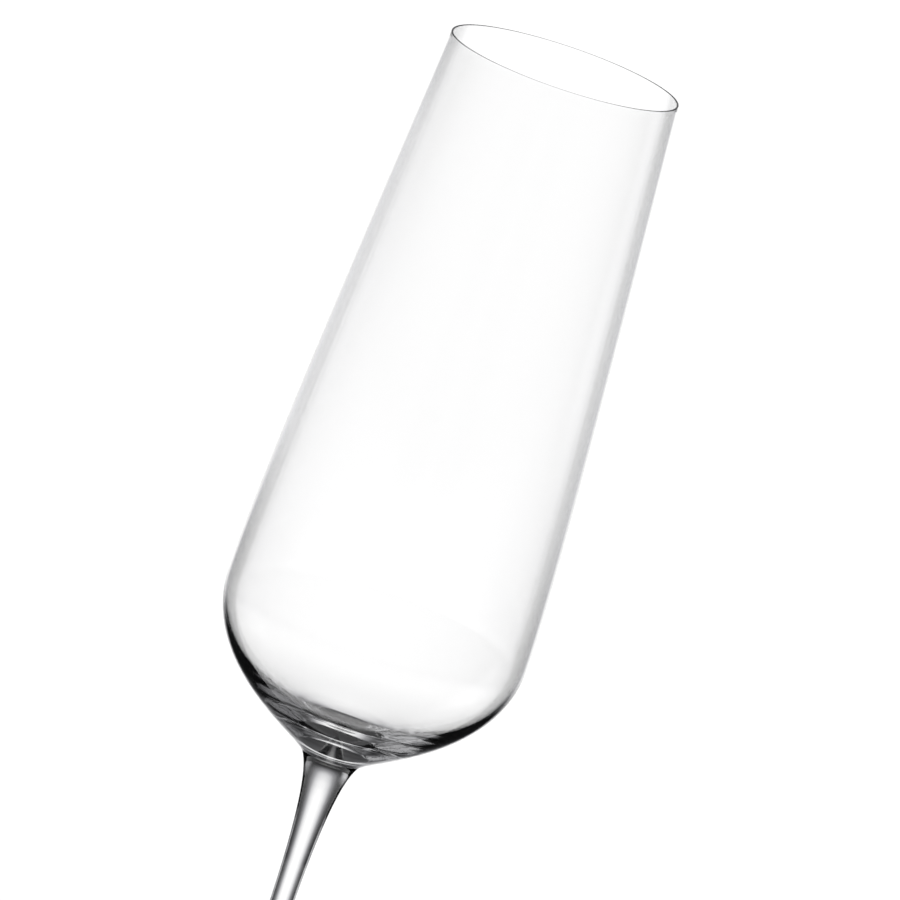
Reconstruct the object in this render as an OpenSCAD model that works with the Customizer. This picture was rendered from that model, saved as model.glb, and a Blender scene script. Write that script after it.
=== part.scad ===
// Champagne flute, blown in three gathers: a tall bowl that tapers to the rim, a drawn stem and a round foot.
// Every piece is turned about the Z axis, and the foot rests on the plane z = 0. Sizes are in millimetres.

/* [Overall] */
// Height from the table to the top of the rim
total_h = 240; // [225:1:260]

/* [Bowl] */
// Height of the bowl, from its joint with the stem to the rim
bowl_h = 146.4; // [130:0.2:160]
// Largest outer diameter, at the belly
belly_d = 62.4; // [56:0.2:70]
// Height of the belly above the joint
belly_rise = 29.5; // [24:0.5:36]
// Outer diameter of the rim
rim_d = 46.8; // [40:0.2:54]
// How far the wall leans inward at the rim, in degrees from upright
rim_lean = 4.2; // [2:0.1:8]
// Wall thickness at the rim, which is cut level
rim_t = 0.4; // [0.4:0.1:1.4]
// Radius of the two polished edges of the rim
rim_edge_r = 0.1; // [0.05:0.05:0.2]
// Wall thickness at the belly
belly_t = 0.6; // [0.5:0.1:2]
// Thickness of the solid base of the bowl, on the axis
base_t = 4.7; // [3.5:0.1:10]

/* [Stem] */
// Diameter of the joint between the bowl and the stem
joint_d = 13.2; // [10:0.2:15]
// Slope of the glass at that joint, in degrees above level
joint_slope = 38; // [30:1:50]
// Smallest diameter of the stem
waist_d = 4.7; // [3.6:0.1:6]
// Drop from the bowl joint to the smallest diameter
waist_drop = 36; // [30:1:46]
// Diameter of the joint between the stem and the foot
foot_joint_d = 8; // [7:0.2:10]
// Height of that joint above the table
foot_joint_z = 9; // [8:0.5:12]
// Slope of the glass at that joint, in degrees above level
foot_joint_slope = 60; // [50:1:70]

/* [Foot] */
// Diameter of the foot
foot_d = 70; // [62:1:80]
// Thickness of the foot at its edge
foot_edge_t = 1.6; // [1.2:0.1:2.4]
// Fall of the top of the foot at its edge, in degrees
foot_edge_fall = 4; // [2:0.5:8]
// Width of the flat ring that the foot rests on
rest_ring_w = 3.5; // [2:0.5:6]
// Rise of the hollow under the foot, on the axis
hollow_rise = 1.8; // [1:0.1:3]

/* [Hidden] */

glass_colour = [0.84, 0.92, 0.94, 0.45];
round_facets = 128;
curve_steps = 16;
edge_steps = 8;
rim_edge_steps = 3;

// Pulls of the curves: how far each one runs on along its end heading.
joint_pull = 6.4;
belly_low_pull = 17.2;
inside_belly_pull = 17.6;
base_pull = 9;
belly_high_pull = 22;
rim_pull = 28;
stem_end_pull = 4;
waist_low_pull = 22;
waist_high_pull = 19.4;
foot_edge_pull = 19;
foot_joint_pull = 5;
hollow_pull = 14;
ring_pull = 12;
ring_pull_rise = 0.8;

joint_z = total_h - bowl_h;
belly_z = joint_z + belly_rise;
waist_z = joint_z - waist_drop;
joint_point = [joint_d / 2, joint_z];
waist_point = [waist_d / 2, waist_z];
foot_joint_point = [foot_joint_d / 2, foot_joint_z];
rim_edge_z = total_h - rim_edge_r;
rim_outer = [rim_d / 2 - rim_edge_r, rim_edge_z];
rim_inner = [rim_d / 2 - rim_t + rim_edge_r, rim_edge_z];
edge_centre = [(foot_d - foot_edge_t) / 2, foot_edge_t / 2];

// Unit vector at an angle above level, in the profile plane.
function heading(angle) = [cos(angle), sin(angle)];

// Cubic curve from a to d that leaves a towards b and reaches d from c.
function bezier(a, b, c, d, steps = curve_steps) =
    [for (i = [0 : steps])
        let (t = i / steps, s = 1 - t)
        a * s ^ 3 + b * 3 * s ^ 2 * t + c * 3 * s * t ^ 2 + d * t ^ 3];

// Arc about a centre, from one angle to another.
function arc(centre, radius, from, to, steps = edge_steps) =
    [for (i = [0 : steps]) centre + radius * heading(from + (to - from) * i / steps)];

// Outside of the bowl, from the joint up to the rim.
function bowl_outside() =
    let (
        belly = [belly_d / 2, belly_z],
        lip = rim_outer + rim_edge_r * heading(rim_lean))
    concat(
        bezier(joint_point, joint_point + joint_pull * heading(joint_slope),
               belly - [0, belly_low_pull], belly),
        bezier(belly, belly + [0, belly_high_pull],
               lip - rim_pull * heading(90 + rim_lean), lip));

// Inside of the bowl, from the rim down to the middle of the base.
function bowl_inside() =
    let (
        belly = [belly_d / 2 - belly_t, belly_z],
        lip = rim_inner - rim_edge_r * heading(rim_lean),
        bottom = [0, joint_z + base_t])
    concat(
        bezier(lip, lip - rim_pull * heading(90 + rim_lean),
               belly + [0, belly_high_pull], belly),
        bezier(belly, belly - [0, inside_belly_pull], bottom + [base_pull, 0], bottom));

// Tall bowl with a thick base, a round belly and walls that taper to the rim.
module bowl() {
    color(glass_colour)
        rotate_extrude($fn = round_facets)
            polygon(concat(
                [[0, joint_z]],
                bowl_outside(),
                arc(rim_outer, rim_edge_r, rim_lean, 90, rim_edge_steps),
                arc(rim_inner, rim_edge_r, 90, 180 + rim_lean, rim_edge_steps),
                bowl_inside()));
}

// Drawn stem, flared at the top into the bowl and at the bottom into the foot.
module stem() {
    color(glass_colour)
        rotate_extrude($fn = round_facets)
            polygon(concat(
                [[0, foot_joint_z]],
                bezier(foot_joint_point,
                       foot_joint_point + stem_end_pull * heading(180 - foot_joint_slope),
                       waist_point - [0, waist_low_pull], waist_point),
                bezier(waist_point, waist_point + [0, waist_high_pull],
                       joint_point - stem_end_pull * heading(joint_slope), joint_point),
                [[0, joint_z]]));
}

// Round foot, thin at its edge, that rests on a flat ring around a shallow hollow.
module foot() {
    ring_outer = [edge_centre.x, 0];
    ring_inner = ring_outer - [rest_ring_w, 0];
    edge_top = edge_centre + foot_edge_t / 2 * heading(90 - foot_edge_fall);
    color(glass_colour)
        rotate_extrude($fn = round_facets)
            polygon(concat(
                bezier([0, hollow_rise], [hollow_pull, hollow_rise],
                       ring_inner + [-ring_pull, ring_pull_rise], ring_inner),
                arc(edge_centre, foot_edge_t / 2, -90, 90 - foot_edge_fall),
                bezier(edge_top, edge_top + foot_edge_pull * heading(180 - foot_edge_fall),
                       foot_joint_point + foot_joint_pull * heading(-foot_joint_slope),
                       foot_joint_point),
                [[0, foot_joint_z]]));
}

bowl();
stem();
foot();
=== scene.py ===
"""Champagne flute in a plain white studio: three pieces of polished crystal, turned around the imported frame.

Every length is in metres, in the frame of the CAD model: +Z up, with the foot resting on z = 0.
"""

import math
from functools import partial

import bpy
from mathutils import Matrix, Vector


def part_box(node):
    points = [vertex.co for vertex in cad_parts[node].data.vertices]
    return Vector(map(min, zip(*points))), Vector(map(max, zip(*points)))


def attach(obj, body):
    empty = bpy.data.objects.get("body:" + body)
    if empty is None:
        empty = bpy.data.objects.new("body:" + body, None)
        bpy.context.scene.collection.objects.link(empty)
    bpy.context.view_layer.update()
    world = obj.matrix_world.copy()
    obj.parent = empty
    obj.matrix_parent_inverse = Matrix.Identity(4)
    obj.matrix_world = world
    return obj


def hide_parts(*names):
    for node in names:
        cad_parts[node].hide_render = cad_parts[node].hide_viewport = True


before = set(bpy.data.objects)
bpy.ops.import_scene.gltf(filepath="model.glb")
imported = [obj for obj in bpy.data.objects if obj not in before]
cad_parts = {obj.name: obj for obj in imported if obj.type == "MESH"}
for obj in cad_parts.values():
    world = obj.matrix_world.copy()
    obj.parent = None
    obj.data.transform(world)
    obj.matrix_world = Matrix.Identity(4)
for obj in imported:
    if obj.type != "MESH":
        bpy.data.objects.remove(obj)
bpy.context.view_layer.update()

MM = 0.001

# Driving dimensions, read from the frame.
bowl_lo, bowl_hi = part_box("bowl")
stem_lo, stem_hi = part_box("stem")
_, foot_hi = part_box("foot")
RIM_Z = bowl_hi.z
JOINT_Z = bowl_lo.z
FOOT_JOINT_Z = stem_lo.z
BELLY_R = bowl_hi.x
JOINT_R = stem_hi.x
FOOT_R = foot_hi.x

# The rest of the outline, as in the CAD model.
RIM_R = 23.4 * MM
RIM_T = 0.4 * MM
RIM_LEAN = 4.2
RIM_EDGE_R = 0.1 * MM
BELLY_T = 0.6 * MM
BELLY_Z = JOINT_Z + 29.5 * MM
BASE_T = 4.7 * MM
JOINT_SLOPE = 38
WAIST_R = 2.35 * MM
WAIST_Z = JOINT_Z - 36 * MM
FOOT_JOINT_R = 4 * MM
FOOT_JOINT_SLOPE = 60
FOOT_EDGE_T = 1.6 * MM
FOOT_EDGE_FALL = 4
REST_RING_W = 3.5 * MM
HOLLOW_RISE = 1.8 * MM

# Pulls of the curves: how far each one runs on along its end heading.
JOINT_PULL = 6.4 * MM
BELLY_LOW_PULL = 17.2 * MM
INSIDE_BELLY_PULL = 17.6 * MM
BASE_PULL = 9 * MM
BELLY_HIGH_PULL = 22 * MM
RIM_PULL = 28 * MM
STEM_END_PULL = 4 * MM
WAIST_LOW_PULL = 22 * MM
WAIST_HIGH_PULL = 19.4 * MM
FOOT_EDGE_PULL = 19 * MM
FOOT_JOINT_PULL = 5 * MM
HOLLOW_PULL = 14 * MM
RING_PULL = 12 * MM
RING_PULL_RISE = 0.8 * MM

# How finely the pieces are turned, and how near two points of an outline are when they count as one.
ROUND_STEPS = 192
CURVE_STEPS = 72
EDGE_STEPS = 20
FLAT_STEPS = 12
SAME_PLACE = 0.0001 * MM


def point(r, z):
    """A point of an outline: its distance from the axis, and its height."""
    return Vector((r, z))


def heading(angle):
    """Unit vector at an angle above level, in degrees, in the plane of the outline."""
    return point(math.cos(math.radians(angle)), math.sin(math.radians(angle)))


def bezier(a, b, c, d, steps=CURVE_STEPS):
    """Cubic curve from a to d that leaves a towards b and reaches d from c."""
    line = []
    for i in range(steps + 1):
        t = i / steps
        s = 1 - t
        line.append(a * s**3 + b * (3 * s**2 * t) + c * (3 * s * t**2) + d * t**3)
    return line


def arc(centre, radius, start, end, steps=EDGE_STEPS):
    """Arc about a centre, from one angle to another, in degrees."""
    return [centre + heading(start + (end - start) * i / steps) * radius for i in range(steps + 1)]


def flat(a, b, steps=FLAT_STEPS):
    """Straight line from a to b."""
    return [a.lerp(b, i / steps) for i in range(steps + 1)]


def turned(name, runs):
    """A closed solid turned about Z from runs of outline points, each run with its material's index."""
    rings = []
    for slot, run in runs:
        for place in run:
            if rings and (rings[-1][0] - place).length < SAME_PLACE:
                rings[-1] = (rings[-1][0], slot)
            else:
                rings.append((place, slot))
    verts, faces, slots, starts = [], [], [], []
    for place, _ in rings:
        starts.append(len(verts))
        if place.x < SAME_PLACE:
            verts.append((0, 0, place.y))
            continue
        for k in range(ROUND_STEPS):
            a = 2 * math.pi * k / ROUND_STEPS
            verts.append((place.x * math.cos(a), place.x * math.sin(a), place.y))
    for i in range(len(rings) - 1):
        lone_a = rings[i][0].x < SAME_PLACE
        lone_b = rings[i + 1][0].x < SAME_PLACE
        for k in range(ROUND_STEPS):
            n = (k + 1) % ROUND_STEPS
            a, a2 = starts[i] + (0 if lone_a else k), starts[i] + (0 if lone_a else n)
            b, b2 = starts[i + 1] + (0 if lone_b else k), starts[i + 1] + (0 if lone_b else n)
            face = [a, a2, b2, b]
            if lone_a:
                face = [a, b2, b]
            if lone_b:
                face = [a, a2, b]
            faces.append(face)
            slots.append(rings[i][1])
    mesh = bpy.data.meshes.new(name)
    mesh.from_pydata(verts, [], faces)
    mesh.polygons.foreach_set("use_smooth", [True] * len(faces))
    mesh.polygons.foreach_set("material_index", slots)
    mesh.update()
    piece = bpy.data.objects.new(name, mesh)
    bpy.context.scene.collection.objects.link(piece)
    return piece


# ---------------------------------------------------------------- materials

# The faces where two pieces meet don't bend light, because the real glass is fused into one there.
GLASS_IOR = 1.52
FUSED_IOR = 1.0

# Faint rings that hot working leaves round the base of the bowl: depth, width, how far they wander from
# true rings, how much finer detail they carry, the height where they end and the height below which they
# are at full depth.
RING_DEPTH = 0.08 * MM
RING_WIDTH = 4 * MM
RING_DRIFT = 0.1
RING_DETAIL = 1
RING_TOP = 113 * MM
RING_FULL = 104 * MM

# Uneven polish: how fine its patches are, how much finer detail they carry, and the roughness that it
# never quite reaches.
POLISH_SCALE = 90
POLISH_DETAIL = 3
POLISH_LIMIT = 0.03


def glass_material(name, ior, ring_depth=0):
    """Clear polished glass. A ring depth adds faint rings, as hot working leaves near the bowl's base."""
    material = bpy.data.materials.new(name)
    material.use_nodes = True
    nodes, links = material.node_tree.nodes, material.node_tree.links
    shader = nodes["Principled BSDF"]
    shader.inputs["Base Color"].default_value = (1, 1, 1, 1)
    shader.inputs["Roughness"].default_value = 0
    shader.inputs["IOR"].default_value = ior
    shader.inputs["Transmission Weight"].default_value = 1
    if not ring_depth:
        return material

    def node(kind, **settings):
        made = nodes.new(kind)
        for key, value in settings.items():
            setattr(made, key, value)
        return made

    place = node("ShaderNodeTexCoord").outputs["Object"]
    parts = node("ShaderNodeSeparateXYZ")
    links.new(place, parts.inputs[0])
    level_part = node("ShaderNodeVectorMath", operation="MULTIPLY")
    level_part.inputs[1].default_value = (1, 1, 0)
    links.new(place, level_part.inputs[0])
    radius = node("ShaderNodeVectorMath", operation="LENGTH")
    links.new(level_part.outputs[0], radius.inputs[0])
    outline = node("ShaderNodeCombineXYZ")
    links.new(radius.outputs["Value"], outline.inputs["X"])
    links.new(parts.outputs["Z"], outline.inputs["Z"])
    spot = node("ShaderNodeVectorMath", operation="MULTIPLY_ADD")
    spot.inputs[1].default_value = (RING_DRIFT, RING_DRIFT, 0)
    links.new(place, spot.inputs[0])
    links.new(outline.outputs[0], spot.inputs[2])
    rings = node("ShaderNodeTexNoise")
    rings.inputs["Scale"].default_value = 1 / RING_WIDTH
    rings.inputs["Detail"].default_value = RING_DETAIL
    links.new(spot.outputs[0], rings.inputs["Vector"])
    near_base = node("ShaderNodeMapRange", interpolation_type="SMOOTHSTEP")
    near_base.inputs["From Min"].default_value = RING_TOP
    near_base.inputs["From Max"].default_value = RING_FULL
    links.new(parts.outputs["Z"], near_base.inputs["Value"])
    height = node("ShaderNodeMath", operation="MULTIPLY")
    links.new(rings.outputs[0], height.inputs[0])
    links.new(near_base.outputs[0], height.inputs[1])
    polish = node("ShaderNodeTexNoise")
    polish.inputs["Scale"].default_value = POLISH_SCALE
    polish.inputs["Detail"].default_value = POLISH_DETAIL
    links.new(place, polish.inputs["Vector"])
    gloss = node("ShaderNodeMapRange")
    gloss.inputs["To Max"].default_value = POLISH_LIMIT
    links.new(polish.outputs[0], gloss.inputs["Value"])
    links.new(gloss.outputs[0], shader.inputs["Roughness"])
    bump = node("ShaderNodeBump")
    bump.inputs["Distance"].default_value = ring_depth
    links.new(height.outputs[0], bump.inputs["Height"])
    links.new(bump.outputs[0], shader.inputs["Normal"])
    return material


crystal = glass_material("crystal", GLASS_IOR, RING_DEPTH)
fused = glass_material("fused_joint", FUSED_IOR)
POLISHED, FUSED = 0, 1


# ---------------------------------------------------------------- pieces

def make_bowl():
    """Tall bowl with a thick base, a round belly and walls that taper to a rim cut level."""
    rim_outer = point(RIM_R - RIM_EDGE_R, RIM_Z - RIM_EDGE_R)
    rim_inner = point(RIM_R - RIM_T + RIM_EDGE_R, RIM_Z - RIM_EDGE_R)
    joint = point(JOINT_R, JOINT_Z)
    belly = point(BELLY_R, BELLY_Z)
    belly_in = point(BELLY_R - BELLY_T, BELLY_Z)
    lip = rim_outer + heading(RIM_LEAN) * RIM_EDGE_R
    lip_in = rim_inner - heading(RIM_LEAN) * RIM_EDGE_R
    bottom = point(0, JOINT_Z + BASE_T)
    wall_pull = heading(90 + RIM_LEAN) * RIM_PULL
    belly_pull = point(0, BELLY_HIGH_PULL)
    return turned("bowl_crystal", [
        (FUSED, flat(point(0, JOINT_Z), joint)),
        (POLISHED, bezier(joint, joint + heading(JOINT_SLOPE) * JOINT_PULL,
                          belly - point(0, BELLY_LOW_PULL), belly)),
        (POLISHED, bezier(belly, belly + belly_pull, lip - wall_pull, lip)),
        (POLISHED, arc(rim_outer, RIM_EDGE_R, RIM_LEAN, 90)),
        (POLISHED, arc(rim_inner, RIM_EDGE_R, 90, 180 + RIM_LEAN)),
        (POLISHED, bezier(lip_in, lip_in - wall_pull, belly_in + belly_pull, belly_in)),
        (POLISHED, bezier(belly_in, belly_in - point(0, INSIDE_BELLY_PULL),
                          bottom + point(BASE_PULL, 0), bottom)),
    ])


def make_stem():
    """Drawn stem, flared at the top into the bowl and at the bottom into the foot."""
    foot_joint = point(FOOT_JOINT_R, FOOT_JOINT_Z)
    waist = point(WAIST_R, WAIST_Z)
    joint = point(JOINT_R, JOINT_Z)
    return turned("stem_crystal", [
        (FUSED, flat(point(0, FOOT_JOINT_Z), foot_joint)),
        (POLISHED, bezier(foot_joint, foot_joint + heading(180 - FOOT_JOINT_SLOPE) * STEM_END_PULL,
                          waist - point(0, WAIST_LOW_PULL), waist)),
        (POLISHED, bezier(waist, waist + point(0, WAIST_HIGH_PULL),
                          joint - heading(JOINT_SLOPE) * STEM_END_PULL, joint)),
        (FUSED, flat(joint, point(0, JOINT_Z))),
    ])


def make_foot():
    """Round foot, thin at its edge, that rests on a flat ring around a shallow hollow."""
    edge_centre = point(FOOT_R - FOOT_EDGE_T / 2, FOOT_EDGE_T / 2)
    ring_outer = point(edge_centre.x, 0)
    ring_inner = point(edge_centre.x - REST_RING_W, 0)
    edge_top = edge_centre + heading(90 - FOOT_EDGE_FALL) * (FOOT_EDGE_T / 2)
    foot_joint = point(FOOT_JOINT_R, FOOT_JOINT_Z)
    hollow = point(0, HOLLOW_RISE)
    return turned("foot_crystal", [
        (POLISHED, bezier(hollow, hollow + point(HOLLOW_PULL, 0),
                          ring_inner + point(-RING_PULL, RING_PULL_RISE), ring_inner)),
        (POLISHED, flat(ring_inner, ring_outer)),
        (POLISHED, arc(edge_centre, FOOT_EDGE_T / 2, -90, 90 - FOOT_EDGE_FALL)),
        (POLISHED, bezier(edge_top, edge_top + heading(180 - FOOT_EDGE_FALL) * FOOT_EDGE_PULL,
                          foot_joint + heading(-FOOT_JOINT_SLOPE) * FOOT_JOINT_PULL, foot_joint)),
        (FUSED, flat(foot_joint, point(0, FOOT_JOINT_Z))),
    ])


for make, node in ((make_bowl, "bowl"), (make_stem, "stem"), (make_foot, "foot")):
    piece = make()
    piece.data.materials.append(crystal)
    piece.data.materials.append(fused)
    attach(piece, "root")
    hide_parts(node)


# ---------------------------------------------------------------- camera

# Distance from the axis, angle down and roll in degrees, the height that it aims at, its step to the
# right, the width of the view at the glass, the sensor in millimetres, and the range that it sees.
CAMERA_AWAY = 2.0
LOOK_DOWN = 10.45
CAMERA_ROLL = 18.8
AIM_Z = 160.1 * MM
SIDE_STEP = 2.75 * MM
FRAME_WIDTH = 177.3 * MM
SENSOR = 36
CLIP_NEAR = 0.05
CLIP_FAR = 100


def make_camera():
    """Camera above the level of the rim, looking down at the bowl and rolled so that the glass leans."""
    data = bpy.data.cameras.new("camera")
    camera = bpy.data.objects.new("camera", data)
    bpy.context.scene.collection.objects.link(camera)
    place = Vector((SIDE_STEP, -CAMERA_AWAY, RIM_Z + CAMERA_AWAY * math.tan(math.radians(LOOK_DOWN))))
    aim = Vector((SIDE_STEP, 0, AIM_Z))
    turn = (aim - place).to_track_quat("-Z", "Y").to_matrix().to_4x4()
    roll = Matrix.Rotation(math.radians(CAMERA_ROLL), 4, "Z")
    camera.matrix_world = Matrix.Translation(place) @ turn @ roll
    data.sensor_width = SENSOR
    data.lens = SENSOR * (aim - place).length / FRAME_WIDTH
    data.clip_start = CLIP_NEAR
    data.clip_end = CLIP_FAR
    bpy.context.scene.camera = camera
    return camera


camera = make_camera()


# ---------------------------------------------------------------- studio

def seen_by(thing, camera=False, diffuse=False, glossy=False, transmission=False):
    """Show a thing only to the kinds of light ray that are named."""
    thing.visible_camera = camera
    thing.visible_diffuse = diffuse
    thing.visible_glossy = glossy
    thing.visible_transmission = transmission
    thing.visible_shadow = False
    thing.visible_volume_scatter = False


# Points round each ring of a lamp's skin, how much bluer its dim parts are, and the angle of the first ring
# of a dome, in degrees.
SEGMENTS = 96
COOLNESS = 0.05
FIRST_RING = 0.1


def glow_material(name, clear):
    """A lamp face whose brightness is stored in its mesh, point by point. A clear one only adds light."""
    material = bpy.data.materials.new(name)
    material.use_nodes = True
    nodes, links = material.node_tree.nodes, material.node_tree.links
    nodes.clear()
    out = nodes.new("ShaderNodeOutputMaterial")
    glow = nodes.new("ShaderNodeEmission")
    level = nodes.new("ShaderNodeAttribute")
    level.attribute_name = "level"
    links.new(level.outputs["Color"], glow.inputs["Color"])
    links.new(glow.outputs[0], out.inputs["Surface"])
    if clear:
        both = nodes.new("ShaderNodeAddShader")
        links.new(glow.outputs[0], both.inputs[0])
        links.new(nodes.new("ShaderNodeBsdfTransparent").outputs[0], both.inputs[1])
        links.new(both.outputs[0], out.inputs["Surface"])
    material.cycles.emission_sampling = "NONE"
    return material


def level_at(stops, at):
    """Brightness read from stops of (place, brightness)."""
    for (a, low), (b, high) in zip(stops[:-1], stops[1:]):
        if at <= b:
            return low + (high - low) * max(0, at - a) / (b - a)
    return stops[-1][1]


def make_lamp(name, rows, clear=False):
    """A glowing skin through rings about Z.

    Each ring is (radius, height, level), where level gives the brightness at a turn from -Y, in degrees.
    """
    verts, faces, levels = [], [], []
    for radius, height, level in rows:
        for k in range(SEGMENTS):
            turn = 360 * k / SEGMENTS
            a = math.radians(turn)
            verts.append((radius * math.sin(a), -radius * math.cos(a), height))
            levels.append(level(turn))
    for i in range(len(rows) - 1):
        for k in range(SEGMENTS):
            n = (k + 1) % SEGMENTS
            near, far = i * SEGMENTS, (i + 1) * SEGMENTS
            faces.append((near + k, near + n, far + n, far + k))
    if not clear:
        faces.append(tuple(range(SEGMENTS)))
    mesh = bpy.data.meshes.new(name)
    mesh.from_pydata(verts, [], faces)
    mesh.update()
    stored = mesh.attributes.new("level", "FLOAT_COLOR", "POINT")
    for item, value in zip(stored.data, levels):
        blue = value * (1 + COOLNESS * max(0, 1 - value))
        item.color = (value, value, blue, 1)
    mesh.materials.append(glow_material(name, clear))
    lamp = bpy.data.objects.new(name, mesh)
    bpy.context.scene.collection.objects.link(lamp)
    seen_by(lamp, glossy=True, transmission=True)
    return lamp


def dome_rows(radius, end, level):
    """Rings of a dome, a degree apart, out to an angle from its local -Z.

    Its level is a function of that angle and of the turn.
    """
    rows = []
    for i in range(end + 1):
        angle = max(FIRST_RING, i)
        a = math.radians(angle)
        rows.append((radius * math.sin(a), -radius * math.cos(a), partial(level, angle)))
    return rows


# Brightness of the backlight, from its middle out to its black edge, by angle in degrees.
BACK_RADIUS = 100
BACK_END = 48
BACK_LEVELS = (
    (0, 1.11), (5, 1.11), (9, 1.035), (13, 0.9), (18, 0.64),
    (23, 0.3), (30, 0.1), (38, 0.02), (BACK_END, 0.004),
)

# The backlight narrows to this share of its width, and stretches, over these angles below its middle.
NECK_START = 4
NECK_END = 14
NECK_WIDTH = 0.4
NECK_REACH = 0.55

# Brightness of the room, from straight below the glass (the table) to straight above it.
ROOM_RADIUS = 150
ROOM_END = 180
ROOM_LEVELS = (
    (0, 1.6), (20, 0.5), (30, 0.5), (45, 0.9), (57, 1.1), (68, 0.8), (74, 0.02),
    (90, 0.004), (150, 0.004), (ROOM_END, 0.15),
)

# A band just below level, a little brighter on the left, with a white card on the camera's side.
BAND_SHARES = ((68, 0), (76, 1), (81, 1), (85, 0))
BAND_LEVEL = 0.4
BAND_LEAN = 0.1
CARD_LEVEL = 0.5

# Two faint panels beyond the glass: distance from the axis, brightness of the left and of the right one,
# how far round they reach from the line behind the glass, in degrees, and how high they stand.
PANEL_AWAY = 0.15
PANEL_LEFT = 0.52
PANEL_RIGHT = 0.22
PANEL_TURNS = ((27, 0), (36, 1), (54, 1), (64, 0))
PANEL_HEIGHTS = ((0.1, 0), (0.13, 1), (0.2, 1), (0.235, 0))

# The floor, and the even light over it.
FLOOR_RADIUS = 30
FLOOR_WHITE = 0.95
FLOOR_ROUGHNESS = 0.9
SKY_STRENGTH = 1.2


def backlight_level(angle, turn):
    """A round glow that narrows to a strip straight below."""
    across = abs(angle * math.sin(math.radians(turn)))
    down = angle * math.cos(math.radians(turn))
    if down > 0:
        t = min(1, max(0, (down - NECK_START) / (NECK_END - NECK_START)))
        t = t * t * (3 - 2 * t)
        across /= 1 + (NECK_WIDTH - 1) * t
        down *= 1 + (NECK_REACH - 1) * t
    return level_at(BACK_LEVELS, math.hypot(across, down))


def room_level(angle, turn):
    """The table, the band and the dark above, at an angle up from straight below the glass."""
    a = math.radians(turn)
    band = BAND_LEVEL - BAND_LEAN * math.sin(a) + CARD_LEVEL * max(0, math.cos(a))
    return level_at(ROOM_LEVELS, angle) + level_at(BAND_SHARES, angle) * band


def panel_level(share, turn):
    """The two panels, each at its own side of the line from the camera through the glass."""
    aside = turn - 180
    return share * level_at(PANEL_TURNS, abs(aside)) * (PANEL_LEFT if aside > 0 else PANEL_RIGHT)


def make_backlight(camera):
    """A soft light with a black surround, beyond the glass.

    It rides with the camera, as when the camera and the light stay put and the object is turned on a table.
    """
    light = make_lamp("backlight", dome_rows(BACK_RADIUS, BACK_END, backlight_level))
    light.parent = camera
    light.rotation_euler = (0, 0, math.radians(-CAMERA_ROLL))


def make_room():
    """A dark room over a pale table, with a faint band of light low round its walls."""
    make_lamp("room", dome_rows(ROOM_RADIUS, ROOM_END, room_level))


def make_panels():
    """Two faint luminous panels beyond the bowl, on its left and right, that soften its walls' edges."""
    rows = []
    for height, share in PANEL_HEIGHTS:
        rows.append((PANEL_AWAY, height, partial(panel_level, share)))
    make_lamp("panels", rows, clear=True)


def make_floor():
    """A wide pale floor, seen past the glass. In the glass, the room's bright table stands in for it."""
    material = bpy.data.materials.new("pale_floor")
    material.use_nodes = True
    shader = material.node_tree.nodes["Principled BSDF"]
    shader.inputs["Base Color"].default_value = (FLOOR_WHITE, FLOOR_WHITE, FLOOR_WHITE, 1)
    shader.inputs["Roughness"].default_value = FLOOR_ROUGHNESS
    bpy.ops.mesh.primitive_circle_add(vertices=SEGMENTS, radius=FLOOR_RADIUS, fill_type="NGON")
    floor = bpy.context.object
    floor.name = "floor"
    seen_by(floor, camera=True, diffuse=True)
    floor.data.materials.append(material)


def make_world():
    """Even white light that only the camera and the floor see."""
    world = bpy.data.worlds.new("world")
    bpy.context.scene.world = world
    world.use_nodes = True
    back = world.node_tree.nodes["Background"]
    back.inputs["Color"].default_value = (1, 1, 1, 1)
    back.inputs["Strength"].default_value = SKY_STRENGTH
    world.cycles_visibility.glossy = False
    world.cycles_visibility.transmission = False


make_backlight(camera)
make_room()
make_panels()
make_floor()
make_world()

BOUNCES = 40
scene = bpy.context.scene
scene.view_settings.view_transform = "Standard"
scene.cycles.max_bounces = BOUNCES
scene.cycles.transmission_bounces = BOUNCES
scene.cycles.glossy_bounces = BOUNCES
